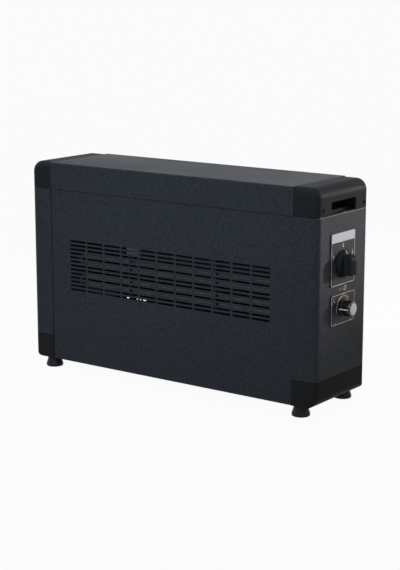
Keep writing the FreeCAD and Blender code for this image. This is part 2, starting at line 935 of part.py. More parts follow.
def fan_impeller():
    """Drum of curved blades held by a disc at each end and a ring in the middle."""
    first = blade()
    pieces = []
    for i in range(blade_count):
        copy = first.copy()
        copy.rotate(point(0, fan_y, fan_z), point(1, 0, 0), 360.0 * i / blade_count)
        pieces.append(copy)
    rim = impeller_radius + blade_thick
    middle = (impeller_left + impeller_right) / 2
    ring = rod_x(rim, middle - disc_thick / 2, middle + disc_thick / 2, fan_y, fan_z)
    ring = ring.cut(rod_x(blade_root - blade_thick, middle - disc_thick, middle + disc_thick,
                          fan_y, fan_z))
    left = rod_x(rim, impeller_left, impeller_left + disc_thick, fan_y, fan_z)
    left = left.fuse(rod_x(hub_radius, impeller_left, impeller_left + hub_length, fan_y, fan_z))
    right = rod_x(rim, impeller_right - disc_thick, impeller_right, fan_y, fan_z)
    right = right.fuse(rod_x(hub_radius, impeller_right - hub_length, impeller_right, fan_y, fan_z))
    drum = left.multiFuse([right, ring] + pieces)
    bore = axle_radius + slip_fit
    drum = drum.cut(rod_x(bore, impeller_left - past, impeller_left + hub_length + past,
                          fan_y, fan_z))
    drum = drum.cut(rod_x(bore, impeller_right - hub_length - past, impeller_right + past,
                          fan_y, fan_z))
    return drum.removeSplitter()


def motor_stator():
    """Stack of plates with the rotor bore in its head and a window for the coil below."""
    side = stator_width / 2
    stack = block(stator_left, stator_right, fan_y - side, fan_y + side, limb_foot, stator_top)
    inside = side - stator_leg
    window = block(stator_left - past, stator_right + past, fan_y - inside, fan_y + inside,
                   limb_top, window_top)
    bore = rod_x(rotor_radius + air_gap, stator_left - past, stator_right + past, fan_y, fan_z)
    return stack.cut(window).cut(bore)


def motor_coil():
    """Winding round the lower limb of the stator."""
    half = stator_width / 2 - stator_leg - coil_clear
    coil = block(stator_left - coil_over, stator_right + coil_over, fan_y - half, fan_y + half,
                 limb_foot - coil_over, limb_top + coil_over)
    long_edges = [edge for edge in coil.Edges if edge.BoundBox.YLength > half]
    coil = coil.makeFillet(coil_round, long_edges)
    limb = block(stator_left, stator_right, fan_y - half - past, fan_y + half + past,
                 limb_foot, limb_top)
    return coil.cut(limb)


def motor_brackets():
    """Strip across each face of the stator with a bearing cup in its middle."""
    half = bracket_width / 2
    brackets = []
    for face, way in ((stator_right, 1), (stator_left, -1)):
        outer = face + way * bracket_thick
        end = face + way * bearing_length
        strip = block(min(face, outer), max(face, outer), fan_y - half, fan_y + half,
                      window_top, stator_top)
        cup = rod_x(bearing_radius, face, end, fan_y, fan_z)
        bore = rod_x(axle_radius + running_fit, face - way * past, end + way * past, fan_y, fan_z)
        brackets.append(strip.fuse(cup).cut(bore))
    return group(brackets)


def motor_posts():
    posts = []
    for y in (fan_y - post_side, fan_y + post_side):
        posts.append(rod_x(post_radius, stator_right, motor_plate_x, y, fan_z))
    return group(posts)


def motor_rotor():
    left = stator_left + rotor_end_gap
    right = stator_right - rotor_end_gap
    core = rod_x(rotor_radius, left, right, fan_y, fan_z)
    return core.cut(rod_x(axle_radius + slip_fit, left - past, right + past, fan_y, fan_z))


def motor_shaft():
    return rod_x(axle_radius, stator_left - bearing_length - axle_spare,
                 impeller_left + hub_length, fan_y, fan_z)


def stub_axle():
    return rod_x(axle_radius, impeller_right - hub_length,
                 partition_back + bush_flange_thick + axle_spare, fan_y, fan_z)


def shaft_bearing():
    """Flanged bush in the right partition for the free end of the impeller."""
    flange_end = partition_back + bush_flange_thick
    bush = rod_x(bush_radius, partition_x - bush_inside, flange_end, fan_y, fan_z)
    bush = bush.fuse(rod_x(bush_flange, partition_back, flange_end, fan_y, fan_z))
    bore = rod_x(axle_radius + running_fit, partition_x - bush_inside - past, flange_end + past,
                 fan_y, fan_z)
    return bush.cut(bore)


# Heating elements

def leg_heights():
    """Heights of the tubes, in step with the rows of slots in front of them."""
    heights = []
    for number in range(len(element_names)):
        low = grille_foot + lowest_leg + number * element_rows * row_pitch
        heights += [low, low + leg_rows * row_pitch]
    return heights


def heating_element(number):
    """Hairpin tube: two legs along the grille joined by a half turn at the left."""
    low, high = leg_heights()[2 * number:2 * number + 2]
    radius = (high - low) / 2
    bend = -partition_x + element_end_gap + tube_radius + radius
    start = point(element_end, element_y, low)
    bend_low = point(bend, element_y, low)
    bend_high = point(bend, element_y, high)
    path = Part.Wire([
        line(start, bend_low),
        arc(bend_low, point(bend - radius, element_y, (low + high) / 2), bend_high),
        line(bend_high, point(element_end, element_y, high)),
    ])
    section = Part.Wire([Part.makeCircle(tube_radius, start, point(1, 0, 0))])
    return path.makePipeShell([section], True, False)


def element_supports():
    """Upright strips with a hole for every tube, between the scroll and the duct ceiling."""
    near = element_y - support_width / 2
    far = element_y + support_width / 2
    strips = []
    for x in (-partition_x + support_inset, partition_x - support_inset):
        outline = [(near, scroll_height(near)), (far, scroll_height(far)),
                   (far, duct_ceiling), (near, duct_ceiling)]
        strip = polygon_prism([point(x, y, z) for y, z in outline], point(inner_sheet, 0, 0))
        for z in leg_heights():
            strip = strip.cut(rod_x(tube_radius + hole_fit, x - past, x + inner_sheet + past,
                                    element_y, z))
        strips.append(strip)
    return group(strips)


def element_beads():
    return group([rod_x(bead_radius, element_end, bead_end, element_y, z) for z in leg_heights()])


def element_pins():
    return group([rod_x(pin_radius, bead_end, bead_end + pin_length, element_y, z)
                  for z in leg_heights()])


# Small electrical pieces

def cutout_bracket():
    half = cutout_plate_width / 2
    return block(-cutout_from_middle - half, -cutout_from_middle + half,
                 -panel_back, -panel_back + inner_sheet,
                 duct_ceiling - cutout_plate_drop, duct_ceiling)


def thermal_cutout():
    front = -panel_back + inner_sheet
    return rod_y(cutout_radius, -cutout_from_middle, front, front + cutout_thick,
                 duct_ceiling - cutout_plate_drop / 2)


def terminal_block():
    """Moulded block on the tray with a well for each way."""
    left = partition_x + partition_foot + terminal_gap
    half = terminal_length / 2
    body = block(left, left + terminal_width, -half, half, floor_top, floor_top + terminal_height)
    top = floor_top + terminal_height
    for y in slot_middles(terminal_length / terminal_ways, terminal_ways):
        body = body.cut(rod_z(terminal_well, left + terminal_width / 2, y,
                              top - terminal_well_depth, top + past))
    return body


def cable_bush_x():
    return (partition_back + panel_half) / 2


def cable_bush():
    """Flanged bush in the rear panel where the mains lead goes in."""
    x = cable_bush_x()
    z = body_bottom + cable_bush_height
    outer = panel_face + cable_bush_lip
    inner = panel_face - cable_bush_length
    bush = rod_y(cable_bush_neck, x, inner, outer, z)
    bush = bush.fuse(rod_y(cable_bush_flange, x, panel_face, outer, z))
    return bush.cut(rod_y(cable_bush_bore, x, inner - past, outer + past, z))


def pieces():
    """Every piece of the heater by its name."""
    panel = end_panel()
    upper_cap = top_cap()
    lower_cap = bottom_cap()
    made = {
        "base_tray": base_tray(),
        "front_panel": front_panel(),
        "rear_panel": rear_panel(),
        "left_end_panel": flipped_x(panel),
        "right_end_panel": right_end_panel(),
        "top_cover": top_cover(),
        "top_left_cap": flipped_x(upper_cap),
        "top_right_cap": upper_cap,
        "bottom_left_cap": flipped_x(lower_cap),
        "bottom_right_cap": lower_cap,
        "cap_screws": cap_screws(),
        "base_screws": base_screws(),
        "rear_screws": rear_screws(),
        "foot_inserts": foot_inserts(),
        "thermostat_plate": control_plate(thermostat_plate_foot, thermostat_plate_top, thermostat_z),
        "thermostat_body": thermostat_body(),
        "thermostat_spindle": thermostat_spindle(),
        "thermostat_knob": thermostat_knob(),
        "thermostat_knob_disc": thermostat_knob_disc(),
        "left_partition": flipped_x(partition()),
        "right_partition": right_partition(),
        "fan_scroll": fan_scroll(),
        "fan_tongue": fan_tongue(),
        "fan_impeller": fan_impeller(),
        "shaft_bearing": shaft_bearing(),
        "stub_axle": stub_axle(),
        "motor_plate": motor_plate(),
        "motor_stator": motor_stator(),
        "motor_coil": motor_coil(),
        "motor_brackets": motor_brackets(),
        "motor_posts": motor_posts(),
        "motor_rotor": motor_rotor(),
        "motor_shaft": motor_shaft(),
        "element_supports": element_supports(),
        "element_beads": element_beads(),
        "element_pins": element_pins(),
        "cutout_bracket": cutout_bracket(),
        "thermal_cutout": thermal_cutout(),
        "terminal_block": terminal_block(),
        "cable_bush": cable_bush(),
    }
    selector = {
        "selector_plate": control_plate(selector_plate_foot, selector_plate_top, selector_z),
        "selector_switch": selector_switch(),
        "selector_shaft": selector_shaft(),
        "selector_knob": selector_knob(),
    }
    for name, shape in selector.items():
        made[name] = shape.translated(point(0, selector_side, 0))
    for number, name in enumerate(element_names):
        made["heating_element_" + name] = heating_element(number)
    for corner, (x, y) in foot_places().items():
        made["foot_pad_" + corner] = foot_pad(x, y)
        made["foot_stud_" + corner] = foot_stud(x, y)
    return made


os.makedirs("parts", exist_ok=True)
for name, shape in pieces().items():
    shape.translate(point(frame_shift, 0, 0))
    shape.exportStep("parts/" + name + ".step")
    print(name, "solids", len(shape.Solids), "valid", shape.isValid(), "volume", round(shape.Volume))
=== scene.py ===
import bpy
import bmesh
import json
import math
from mathutils import Matrix, Vector


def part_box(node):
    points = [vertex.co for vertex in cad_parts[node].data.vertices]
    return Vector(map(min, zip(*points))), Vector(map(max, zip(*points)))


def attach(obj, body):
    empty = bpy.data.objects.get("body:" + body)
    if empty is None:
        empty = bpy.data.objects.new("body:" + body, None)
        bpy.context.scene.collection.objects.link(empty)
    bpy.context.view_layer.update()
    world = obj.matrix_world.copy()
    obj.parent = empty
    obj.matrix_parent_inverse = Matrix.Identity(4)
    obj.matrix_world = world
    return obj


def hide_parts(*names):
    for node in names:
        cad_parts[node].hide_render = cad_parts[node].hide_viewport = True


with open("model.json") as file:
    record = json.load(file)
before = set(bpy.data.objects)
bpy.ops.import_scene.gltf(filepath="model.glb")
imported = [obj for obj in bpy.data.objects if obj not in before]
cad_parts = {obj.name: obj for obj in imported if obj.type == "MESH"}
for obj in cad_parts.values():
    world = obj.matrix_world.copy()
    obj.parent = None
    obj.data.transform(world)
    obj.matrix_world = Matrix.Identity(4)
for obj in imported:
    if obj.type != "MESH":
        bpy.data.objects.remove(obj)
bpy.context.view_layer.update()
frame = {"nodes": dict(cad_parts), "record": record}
nodes = frame["nodes"]
scene = bpy.context.scene
mm = 0.001
print("frame loaded:", len(nodes), "nodes")


# material helpers

def newMaterial(name):
    material = bpy.data.materials.new(name)
    material.use_nodes = True
    tree = material.node_tree
    return material, tree, tree.nodes["Principled BSDF"]


def addNode(tree, kind, **inputs):
    node = tree.nodes.new(kind)
    for key, value in inputs.items():
        node.inputs[key].default_value = value
    return node


def mathNode(tree, operation, first, second=0.0):
    node = tree.nodes.new("ShaderNodeMath")
    node.operation = operation
    for socket, value in zip(node.inputs, (first, second)):
        if isinstance(value, (int, float)):
            socket.default_value = value
        else:
            tree.links.new(value, socket)
    return node.outputs["Value"]


def objectPlace(tree):
    return tree.nodes.new("ShaderNodeTexCoord").outputs["Object"]


def objectNoise(tree, scale, detail=2.0, roughness=0.5):
    noise = addNode(tree, "ShaderNodeTexNoise", Scale=scale, Detail=detail, Roughness=roughness)
    tree.links.new(objectPlace(tree), noise.inputs["Vector"])
    return noise.outputs["Fac"]


def objectAxis(tree, axis):
    split = tree.nodes.new("ShaderNodeSeparateXYZ")
    tree.links.new(objectPlace(tree), split.inputs["Vector"])
    return split.outputs[axis]


def shadeRamp(tree, source, stops):
    ramp = tree.nodes.new("ShaderNodeValToRGB")
    marks = ramp.color_ramp.elements
    while len(marks) < len(stops):
        marks.new(0.5)
    for mark, (position, colour) in zip(marks, stops):
        mark.position = position
        mark.color = (*colour, 1)
    tree.links.new(source, ramp.inputs["Fac"])
    return ramp.outputs["Color"]


def twoTone(tree, source, dark, light, low, high):
    return shadeRamp(tree, source, [(low, dark), (high, light)])


def ranged(tree, source, low, high, fromLow=0.3, fromHigh=0.7):
    node = tree.nodes.new("ShaderNodeMapRange")
    node.inputs["From Min"].default_value = fromLow
    node.inputs["From Max"].default_value = fromHigh
    node.inputs["To Min"].default_value = low
    node.inputs["To Max"].default_value = high
    tree.links.new(source, node.inputs["Value"])
    return node.outputs["Result"]


def mixColours(tree, share, first, second):
    node = tree.nodes.new("ShaderNodeMix")
    node.data_type = "RGBA"
    tree.links.new(share, node.inputs["Factor"])
    for socket, value in ((node.inputs["A"], first), (node.inputs["B"], second)):
        if isinstance(value, tuple):
            socket.default_value = (*value, 1)
        else:
            tree.links.new(value, socket)
    return node.outputs["Result"]


def plugIn(tree, shader, colour, rough):
    tree.links.new(colour, shader.inputs["Base Color"])
    tree.links.new(rough, shader.inputs["Roughness"])


def bumpFrom(tree, shader, source, strength, distance):
    bump = addNode(tree, "ShaderNodeBump", Strength=strength, Distance=distance)
    tree.links.new(source, bump.inputs["Height"])
    tree.links.new(bump.outputs["Normal"], shader.inputs["Normal"])


# paint on the sheets: a pebbled coat with fine and coarse grains
powderCoat = {
    "dark": (0.030, 0.032, 0.036), "light": (0.056, 0.058, 0.064), "stops": (0.36, 0.64),
    "fineScale": 640, "coarseScale": 270, "coarseShare": 0.45,
    "grainStrength": 0.5, "grainDepth": 0.00028,
    "roughScale": 9, "roughLow": 0.48, "roughHigh": 0.60, "gloss": 0.06,
    # painted highlight along the bend at the upper edge of the end panels: its colour, heights,
    # and how far out from the case's middle
    "paintedHighlight": (0.15, 0.154, 0.16), "paintedHighlightBand": (0.2989, 0.3006), "paintedHighlightReach": 0.272,
    "caseMiddle": -0.010, "patchScale": 60, "patchLow": 0.35,
}


def makePowderCoat(name, paintedHighlightEdge):
    p = powderCoat
    material, tree, shader = newMaterial(name)
    share = p["coarseShare"]
    fine = objectNoise(tree, p["fineScale"], 3.0, 0.6)
    coarse = objectNoise(tree, p["coarseScale"])
    grain = mathNode(tree, "ADD", mathNode(tree, "MULTIPLY", fine, 1 - share),
                     mathNode(tree, "MULTIPLY", coarse, share))
    colour = twoTone(tree, grain, p["dark"], p["light"], *p["stops"])
    if paintedHighlightEdge:  # painted highlight along the upper edge of an end panel, in patches
        low, high = p["paintedHighlightBand"]
        height = objectAxis(tree, "Z")
        inside = mathNode(tree, "MULTIPLY", mathNode(tree, "GREATER_THAN", height, low),
                          mathNode(tree, "LESS_THAN", height, high))
        fromMiddle = mathNode(tree, "SUBTRACT", objectAxis(tree, "X"), p["caseMiddle"])
        reach = mathNode(tree, "ABSOLUTE", fromMiddle)
        outer = mathNode(tree, "GREATER_THAN", reach, p["paintedHighlightReach"])
        highlightPatches = ranged(tree, objectNoise(tree, p["patchScale"]), p["patchLow"], 1.0)
        highlightShare = mathNode(tree, "MULTIPLY", mathNode(tree, "MULTIPLY", inside, outer), highlightPatches)
        # mix the painted highlight into the coat
        colour = mixColours(tree, highlightShare, colour, p["paintedHighlight"])
    haze = objectNoise(tree, p["roughScale"], 3.0)
    plugIn(tree, shader, colour, ranged(tree, haze, p["roughLow"], p["roughHigh"]))
    bumpFrom(tree, shader, grain, p["grainStrength"], p["grainDepth"])
    shader.inputs["Specular IOR Level"].default_value = p["gloss"]
    return material


# moulded plastics: a faint mottle and a fine grain
moulding = {"mottleScale": 14, "stops": (0.30, 0.70), "roughSpread": 0.06, "grainDepth": 0.0001}


def makeMoulding(name, dark, light, rough, gloss=0.35, grainScale=1500, grainStrength=0.25):
    p = moulding
    material, tree, shader = newMaterial(name)
    grain = objectNoise(tree, grainScale)
    mottle = objectNoise(tree, p["mottleScale"], 3.0)
    plugIn(tree, shader, twoTone(tree, mottle, dark, light, *p["stops"]),
           ranged(tree, grain, rough - p["roughSpread"], rough + p["roughSpread"]))
    bumpFrom(tree, shader, grain, grainStrength, p["grainDepth"])
    shader.inputs["Specular IOR Level"].default_value = gloss
    return material


# bare metals
bareMetal = {"stops": (0.35, 0.65), "roughSpread": 0.08, "bumpStrength": 0.08, "bumpDepth": 0.0002}


def makeMetal(name, dark, light, rough, grainScale=220):
    p = bareMetal
    material, tree, shader = newMaterial(name)
    shader.inputs["Metallic"].default_value = 1.0
    mottle = objectNoise(tree, grainScale, 4.0, 0.6)
    plugIn(tree, shader, twoTone(tree, mottle, dark, light, *p["stops"]),
           ranged(tree, mottle, rough - p["roughSpread"], rough + p["roughSpread"]))
    bumpFrom(tree, shader, mottle, p["bumpStrength"], p["bumpDepth"])
    return material


# turned metal: fine rings about the dial's axis
turnedRings = {
    "scale": 560, "waver": 0.6, "detail": 1.0, "stops": (0.2, 0.8),
    "roughLess": 0.05, "roughMore": 0.08, "bumpStrength": 0.12, "bumpDepth": 0.00008,
}


def makeTurnedMetal(name, dark, light, rough, axisY, axisZ):
    p = turnedRings
    material, tree, shader = newMaterial(name)
    shader.inputs["Metallic"].default_value = 1.0
    centre = addNode(tree, "ShaderNodeMapping", Location=(0, -axisY, -axisZ))
    tree.links.new(objectPlace(tree), centre.inputs["Vector"])
    wave = addNode(tree, "ShaderNodeTexWave", Scale=p["scale"], Distortion=p["waver"],
                   Detail=p["detail"])
    wave.wave_type = "RINGS"
    wave.rings_direction = "X"
    tree.links.new(centre.outputs["Vector"], wave.inputs["Vector"])
    rings = wave.outputs["Fac"]
    plugIn(tree, shader, twoTone(tree, rings, dark, light, *p["stops"]),
           ranged(tree, rings, rough - p["roughLess"], rough + p["roughMore"], 0.0, 1.0))
    bumpFrom(tree, shader, rings, p["bumpStrength"], p["bumpDepth"])
    return material


# printed film, its colour set out from front to rear
inkFilm = {
    "speckScale": 900, "speckShare": 0.30, "speckShade": 0.6,
    "roughScale": 300, "roughLow": 0.42, "roughHigh": 0.56, "gloss": 0.2,
}


def makeInk(name, stops, middle=0.0, reach=0.03):
    p = inkFilm
    material, tree, shader = newMaterial(name)
    spread = ranged(tree, objectAxis(tree, "Y"), 0.0, 1.0, middle - reach, middle + reach)
    film = shadeRamp(tree, spread, stops)
    speck = ranged(tree, objectNoise(tree, p["speckScale"]), 0.0, p["speckShare"])
    shade = tuple(p["speckShade"] * part for part in stops[0][1])
    haze = objectNoise(tree, p["roughScale"])
    plugIn(tree, shader, mixColours(tree, speck, film, shade),
           ranged(tree, haze, p["roughLow"], p["roughHigh"]))
    shader.inputs["Specular IOR Level"].default_value = p["gloss"]
    return material


dialLow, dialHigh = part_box("thermostat_knob")
dialY, dialZ = (dialLow[1] + dialHigh[1]) / 2, (dialLow[2] + dialHigh[2]) / 2
selectorLow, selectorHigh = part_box("selector_knob")
selectorY = (selectorLow[1] + selectorHigh[1]) / 2
selectorZ = (selectorLow[2] + selectorHigh[2]) / 2

# one finish for each slot: dark tone, light tone, roughness and what differs from the usual
finishes = {
    "textured_paint": makePowderCoat("powderCoat", False),
    "cap_plastic": makeMoulding(
        "capPlastic", (0.0262, 0.0256, 0.0250), (0.0327, 0.0322, 0.0315), 0.50, gloss=0.013),
    "foot_plastic": makeMoulding(
        "footPlastic", (0.012, 0.012, 0.013), (0.018, 0.018, 0.019), 0.40, gloss=0.14),
    # galvanised sheet toned far darker than bare zinc: painted shade for the dim inside of the
    # case
    "galvanised_sheet": makeMetal(
        "galvanisedSheet", (0.055, 0.058, 0.058), (0.080, 0.083, 0.083), 0.60, grainScale=90),
    "plated_steel": makeMetal("platedSteel", (0.50, 0.50, 0.49), (0.64, 0.64, 0.62), 0.32),
    "threaded_brass": makeMetal("threadedBrass", (0.58, 0.42, 0.18), (0.72, 0.54, 0.25), 0.34),
    "control_plate": makeMoulding(
        "controlPlate", (0.027, 0.0265, 0.0255), (0.034, 0.0335, 0.0325), 0.46, gloss=0.08,
        grainScale=900),
    "knob_plastic": makeMoulding(
        "knobPlastic", (0.022, 0.0222, 0.0235), (0.027, 0.0272, 0.0285), 0.40, gloss=0.005),
    "bright_disc": makeTurnedMetal(
        "brightDisc", (0.28, 0.27, 0.27), (0.35, 0.34, 0.34), 0.34, dialY, dialZ),
    "switch_moulding": makeMoulding("switchMoulding", (0.26, 0.25, 0.23), (0.32, 0.31, 0.29), 0.5),
    "impeller_alloy": makeMetal("impellerAlloy", (0.30, 0.305, 0.31), (0.42, 0.425, 0.43), 0.42),
    "core_steel": makeMetal("coreSteel", (0.16, 0.16, 0.17), (0.22, 0.22, 0.23), 0.45),
    "coil_tape": makeMoulding("coilTape", (0.48, 0.34, 0.09), (0.58, 0.43, 0.13), 0.45),
    "bearing_bronze": makeMetal("bearingBronze", (0.40, 0.28, 0.15), (0.50, 0.36, 0.20), 0.4),
    "element_steel": makeMetal("elementSteel", (0.074, 0.078, 0.081), (0.122, 0.128, 0.133), 0.42),
    "white_ceramic": makeMoulding("whiteCeramic", (0.80, 0.78, 0.74), (0.86, 0.84, 0.80), 0.25),
    "black_bush": makeMoulding("blackBush", (0.014, 0.014, 0.014), (0.020, 0.020, 0.020), 0.45),
    "dark_screw": makeMoulding(
        "darkScrew", (0.0035, 0.0035, 0.0038), (0.0060, 0.0060, 0.0063), 0.55, gloss=0.01),
    # the duct sheets' dark tone is painted shade for the inside of the case
    "duct_sheet": makeMetal("ductSheet", (0.040, 0.040, 0.041), (0.065, 0.065, 0.067), 0.55),
}
# the end panels take the coat with the painted highlight along their upper edge
endCoat = makePowderCoat("endCoat", True)
supportSheet = makeMetal("supportSheet", (0.100, 0.100, 0.102), (0.150, 0.150, 0.152), 0.50)
special = {
    "left_end_panel": endCoat, "right_end_panel": endCoat, "element_supports": supportSheet,
}
dialBlack = makeMoulding(
    "dialBlack", (0.0045, 0.0045, 0.005), (0.007, 0.007, 0.0075), 0.20, gloss=0.45,
    grainScale=700, grainStrength=0.08)
whiteInk = makeInk("whiteInk", [(0.0, (0.55, 0.55, 0.56)), (1.0, (0.57, 0.57, 0.58))])
labelInk = makeInk("labelInk", [(0.0, (0.72, 0.72, 0.78)), (1.0, (0.75, 0.75, 0.81))])
scaleStops = [  # yellow turning to red along the scale
    (0.0, (0.60, 0.52, 0.24)), (0.45, (0.68, 0.54, 0.26)),
    (0.52, (0.30, 0.115, 0.045)), (1.0, (0.24, 0.09, 0.06)),
]
scaleInk = makeInk("scaleInk", scaleStops, dialY, 0.020)
lineInk = makeInk("lineInk", [(0.0, (0.92, 0.88, 0.80)), (1.0, (0.94, 0.90, 0.82))])
redInk = makeInk("redInk", [(0.0, (0.17, 0.046, 0.046)), (1.0, (0.15, 0.042, 0.042))])

slotOf = {entry["node"]: entry["material_slot"] for entry in frame["record"]["subparts"]}
for name, node in nodes.items():
    node.data.materials.clear()
    node.data.materials.append(special.get(name, finishes[slotOf[name]]))
print("finishes on every node:", len(finishes))


# modelling helpers: shapes are given in mm, places in metres

def facing(origin, right, out):
    right, out = Vector(right), Vector(out)  # local x to the right, y up, z outwards
    turn = Matrix((right, out.cross(right), out)).transposed()
    return Matrix.Translation(origin) @ turn.to_4x4()


def onEnd(y, z, x):
    return facing((x, y, z), (0, 1, 0), (1, 0, 0))


def pour(bm, part, place):
    bmesh.ops.transform(part, matrix=place, verts=part.verts)
    mesh = bpy.data.meshes.new("poured")
    part.to_mesh(mesh)
    part.free()
    bm.from_mesh(mesh)
    bpy.data.meshes.remove(mesh)


def makePiece(name, body, material, parts, stands=(), sharp=35):
    bm = bmesh.new()
    for part, place in parts:
        pour(bm, part, place)
    mesh = bpy.data.meshes.new(name)
    bm.to_mesh(mesh)
    bm.free()
    mesh.materials.append(material)
    mesh.shade_smooth()
    mesh.set_sharp_from_angle(angle=math.radians(sharp))
    piece = bpy.data.objects.new(name, mesh)
    scene.collection.objects.link(piece)
    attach(piece, body)
    if stands:
        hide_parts(*stands)


def turned(profile, steps):
    part = bmesh.new()  # profile is (radius, height) about local z
    points = [part.verts.new((radius * mm, 0, height * mm)) for radius, height in profile]
    edges = [part.edges.new(pair) for pair in zip(points, points[1:])]
    bmesh.ops.spin(part, geom=points + edges, cent=(0, 0, 0), axis=(0, 0, 1),
                   angle=2 * math.pi, steps=steps, use_merge=True)
    bmesh.ops.remove_doubles(part, verts=part.verts, dist=1e-7)
    bmesh.ops.recalc_face_normals(part, faces=part.faces)
    return part


def newVerts(made, key="geom"):
    return [item for item in made[key] if isinstance(item, bmesh.types.BMVert)]


def raiseFlat(part, height, way=(0, 0, 1)):
    made = bmesh.ops.extrude_face_region(part, geom=part.faces[:], use_keep_orig=True)
    bmesh.ops.translate(part, vec=Vector(way) * height * mm, verts=newVerts(made))
    bmesh.ops.recalc_face_normals(part, faces=part.faces)
    return part


def roundCorners(part, verts, corner):
    bmesh.ops.bevel(part, geom=verts, offset=corner * mm, segments=5, profile=0.5,
                    affect="VERTICES", material=-1)


def flatPlate(width, height):
    part = bmesh.new()
    bmesh.ops.create_grid(part, x_segments=1, y_segments=1, size=0.5)
    bmesh.ops.scale(part, vec=(width * mm, height * mm, 1), verts=part.verts)
    return part


def rounded(width, height, corner):
    part = flatPlate(width, height)
    roundCorners(part, part.verts[:], corner)
    return part


def inkStrip(path, width, thick, way=(0, 0, 1)):
    part = bmesh.new()  # path is (local y, local z), the strip lies across local x
    points = [part.verts.new((-width / 2 * mm, y * mm, z * mm)) for y, z in path]
    edges = [part.edges.new(pair) for pair in zip(points, points[1:])]
    made = bmesh.ops.extrude_edge_only(part, edges=edges)
    bmesh.ops.translate(part, vec=(width * mm, 0, 0), verts=newVerts(made))
    return raiseFlat(part, thick, way)


def nextRing(part, edges, rise, grow=1.0):
    made = bmesh.ops.extrude_edge_only(part, edges=edges)
    verts = newVerts(made)
    bmesh.ops.translate(part, vec=(0, 0, rise * mm), verts=verts)
    bmesh.ops.scale(part, vec=(grow, grow, 1), verts=verts)
    return [item for item in made["geom"] if isinstance(item, bmesh.types.BMEdge)]


# selector knob: turned disc, a drafted bar with a rounded nose
knobShape = {
    "disc": [(0, 0), (20.2, 0), (20.6, 0.5), (20.6, 2.6), (20.3, 3.3), (17.6, 5.6), (16.8, 6.0),
             (0, 6.0)],
    "discSteps": 96, "root": 3.0, "front": 18.0, "low": -16.0, "high": 14.0,
    "halfRoot": 8.6, "halfFront": 7.8, "nose": 9.0, "noseSteps": 14,
    "edge": 2.0, "edgeSteps": 4, "sharp": 40,
    "edgeAngle": 0.6,  # radians, flatter edges aren't rounded
    "pointer": [(14.9, 6.0), (16.8, 6.0), (17.6, 5.6), (20.0, 3.56)],
    "pointerWidth": 1.9, "pointerThick": 0.12,
}


def knobBar():
    k = knobShape
    bar = bmesh.new()
    half, root, front = k["halfRoot"], k["root"], k["front"]
    noseY, noseZ = k["high"] - k["nose"], front - k["nose"]
    tip = bar.verts.new((-half * mm, noseY * mm, front * mm))
    swept = bmesh.ops.spin(bar, geom=[tip], cent=(-half * mm, noseY * mm, noseZ * mm),
                           axis=(1, 0, 0), angle=-math.pi / 2, steps=k["noseSteps"])
    last = newVerts(swept, "geom_last")[0]
    head = bar.verts.new((-half * mm, k["high"] * mm, root * mm))
    heel = bar.verts.new((-half * mm, k["low"] * mm, root * mm))
    toe = bar.verts.new((-half * mm, k["low"] * mm, front * mm))
    for pair in ((last, head), (head, heel), (heel, toe), (toe, tip)):
        bar.edges.new(pair)
    bmesh.ops.contextual_create(bar, geom=bar.edges[:])
    raiseFlat(bar, 2 * half, (1, 0, 0))
    for vert in bar.verts:  # the bar narrows towards its front
        share = (vert.co.z / mm - root) / (front - root)
        vert.co.x *= 1 - share * (1 - k["halfFront"] / half)
    aboveRoot = (root + 0.1) * mm  # edges sunk in the disc stay sharp
    edges = [edge for edge in bar.edges
             if len(edge.link_faces) == 2 and edge.calc_face_angle() > k["edgeAngle"]
             and min(vert.co.z for vert in edge.verts) > aboveRoot]
    bmesh.ops.bevel(bar, geom=edges, offset=k["edge"] * mm, segments=k["edgeSteps"], profile=0.5,
                    affect="EDGES", material=-1, clamp_overlap=True)
    bmesh.ops.dissolve_degenerate(bar, dist=1e-6, edges=bar.edges[:])
    return bar


def makeSelectorKnob():
    k = knobShape
    place = onEnd(selectorY, selectorZ, selectorLow[0])
    parts = [(turned(k["disc"], k["discSteps"]), place), (knobBar(), place)]
    makePiece("selectorKnob", "selector", finishes["knob_plastic"], parts,
              ["selector_knob"], k["sharp"])
    pointer = inkStrip(k["pointer"], k["pointerWidth"], k["pointerThick"])
    makePiece("selectorPointer", "selector", whiteInk, [(pointer, place)])


makeSelectorKnob()
print("selector knob ready")


# thermostat knob: plain skirt, fluted barrel, bright disc and a white line along one crest
dialShape = {
    "radius": 12.5, "barrel": 12.2, "skirt": 2.6, "height": 17.0, "segments": 180, "sharp": 30,
    "shoulder": 0.5, "fluteStart": 0.1, "flutes": 12, "fluteDepth": 0.9, "fluteHalf": 8.2,
    "crown": [(0.8, 0.975), (0.4, 0.955), (0.2, 0.93)],  # rise and taper of each step
    "disc": [(0, 0), (8.8, 0), (8.8, 0.55), (8.35, 0.95), (7.9, 1.0), (0, 1.0)], "discSteps": 72,
    "line": [(12.48, 0.4), (12.48, 2.55), (12.18, 3.1), (12.18, 15.7)],
    "lineWidth": 1.8, "lineThick": 0.12,
}


def flutedBarrel():
    d = dialShape
    part = bmesh.new()
    bmesh.ops.create_circle(part, segments=d["segments"], radius=d["radius"] * mm)
    edges = part.edges[:]
    bmesh.ops.contextual_create(part, geom=edges)
    edges = nextRing(part, edges, d["skirt"])
    edges = nextRing(part, edges, d["shoulder"], d["barrel"] / d["radius"])
    edges = nextRing(part, edges, d["fluteStart"])
    for vert in {vert for edge in edges for vert in edge.verts}:
        turn = math.degrees(math.atan2(vert.co.y, vert.co.x)) % (360 / d["flutes"])
        fromMiddle = turn - 180 / d["flutes"]
        cut = max(0.0, 1 - (fromMiddle / d["fluteHalf"]) ** 2) * d["fluteDepth"]
        vert.co.xy *= 1 - cut / d["barrel"]
    crownHeight = sum(rise for rise, taper in d["crown"])
    below = d["skirt"] + d["shoulder"] + d["fluteStart"]
    edges = nextRing(part, edges, d["height"] - below - crownHeight)
    for rise, taper in d["crown"]:
        edges = nextRing(part, edges, rise, taper)
    bmesh.ops.contextual_create(part, geom=edges)
    bmesh.ops.recalc_face_normals(part, faces=part.faces)
    return part


